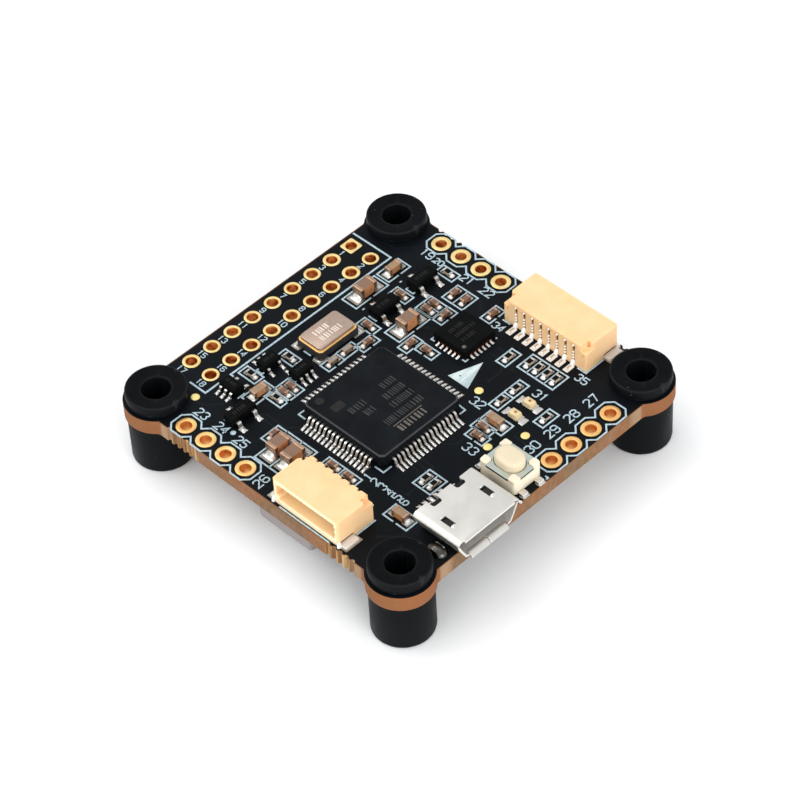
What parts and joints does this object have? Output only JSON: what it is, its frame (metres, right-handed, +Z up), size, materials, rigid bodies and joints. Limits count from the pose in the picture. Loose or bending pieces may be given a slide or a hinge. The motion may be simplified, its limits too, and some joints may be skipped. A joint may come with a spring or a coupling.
{
  "type": "flight controller board",
  "caption": "Square flight controller board with soft grommets in its corner ears, wire and USB sockets, plated pad rows, chips and a push button.",
  "frame": {"origin": "centre of the four mounting holes, in the plane that the grommets' legs end in", "axes": "+Z up through the board, +Y forward along the printed arrow, +X to the right, where the USB socket is"},
  "size_m": [0.0372, 0.0366, 0.0099],
  "materials": {
    "laminate": "satin",
    "rubber": "matte",
    "gold_plating": "polished",
    "mould_compound": "matte",
    "tin_plating": "satin",
    "crystal_ceramic": "matte",
    "seal_gold": "polished",
    "lid_metal": "satin",
    "cream_nylon": "satin",
    "shell_steel": "satin",
    "black_nylon": "matte",
    "contact_gold": "polished",
    "button_plastic": "satin",
    "cover_steel": "satin",
    "plunger_plastic": "satin",
    "dome_metal": "polished",
    "capacitor_ceramic": "matte",
    "resistor_film": "gloss",
    "led_base": "satin",
    "led_resin": "gloss",
    "ferrite": "matte"
  },
  "bodies": {
    "board": {"circuit_board": "laminate", "front_left_grommet": "rubber", "front_right_grommet": "rubber", "rear_left_grommet": "rubber", "rear_right_grommet": "rubber", "header_plated_holes": "gold_plating", "front_plated_holes": "gold_plating", "rear_plated_holes": "gold_plating", "right_plated_holes": "gold_plating", "test_points": "gold_plating", "microcontroller_body": "mould_compound", "microcontroller_leads": "tin_plating", "motion_sensor_body": "mould_compound", "motion_sensor_terminals": "tin_plating", "crystal_base": "crystal_ceramic", "crystal_seal_ring": "seal_gold", "crystal_lid": "lid_metal", "crystal_terminals": "tin_plating", "motor_connector_housing": "cream_nylon", "motor_connector_contacts": "tin_plating", "motor_connector_tabs": "tin_plating", "peripheral_connector_housing": "cream_nylon", "peripheral_connector_contacts": "tin_plating", "peripheral_connector_tabs": "tin_plating", "usb_shell": "shell_steel", "usb_insulator": "black_nylon", "usb_contacts": "contact_gold", "button_base": "button_plastic", "button_cover": "cover_steel", "button_dome": "dome_metal", "button_terminals": "tin_plating", "large_capacitor_bodies": "capacitor_ceramic", "large_capacitor_terminals": "tin_plating", "medium_capacitor_bodies": "capacitor_ceramic", "medium_capacitor_terminals": "tin_plating", "small_capacitor_bodies": "capacitor_ceramic", "small_capacitor_terminals": "tin_plating", "resistor_bodies": "resistor_film", "resistor_terminals": "tin_plating", "led_bases": "led_base", "led_lenses": "led_resin", "led_terminals": "tin_plating", "transistor_bodies": "mould_compound", "transistor_leads": "tin_plating", "logic_chip_bodies": "mould_compound", "logic_chip_leads": "tin_plating", "power_inductor_core": "ferrite", "power_inductor_terminals": "tin_plating", "buck_converter_body": "mould_compound", "buck_converter_leads": "tin_plating", "video_overlay_body": "mould_compound", "video_overlay_leads": "tin_plating", "overlay_crystal": "lid_metal", "underside_capacitor_bodies": "capacitor_ceramic", "underside_capacitor_terminals": "tin_plating"},
    "plunger": {"button_plunger": "plunger_plastic"}
  },
  "joints": [
    {"name": "button_press", "type": "slide", "parent": "board", "child": "plunger", "axis": [0, 0, -1], "range_m": [0, 0.00025], "stiffness_N_per_m": 6000, "deforming": ["button_dome"]}
  ]
}
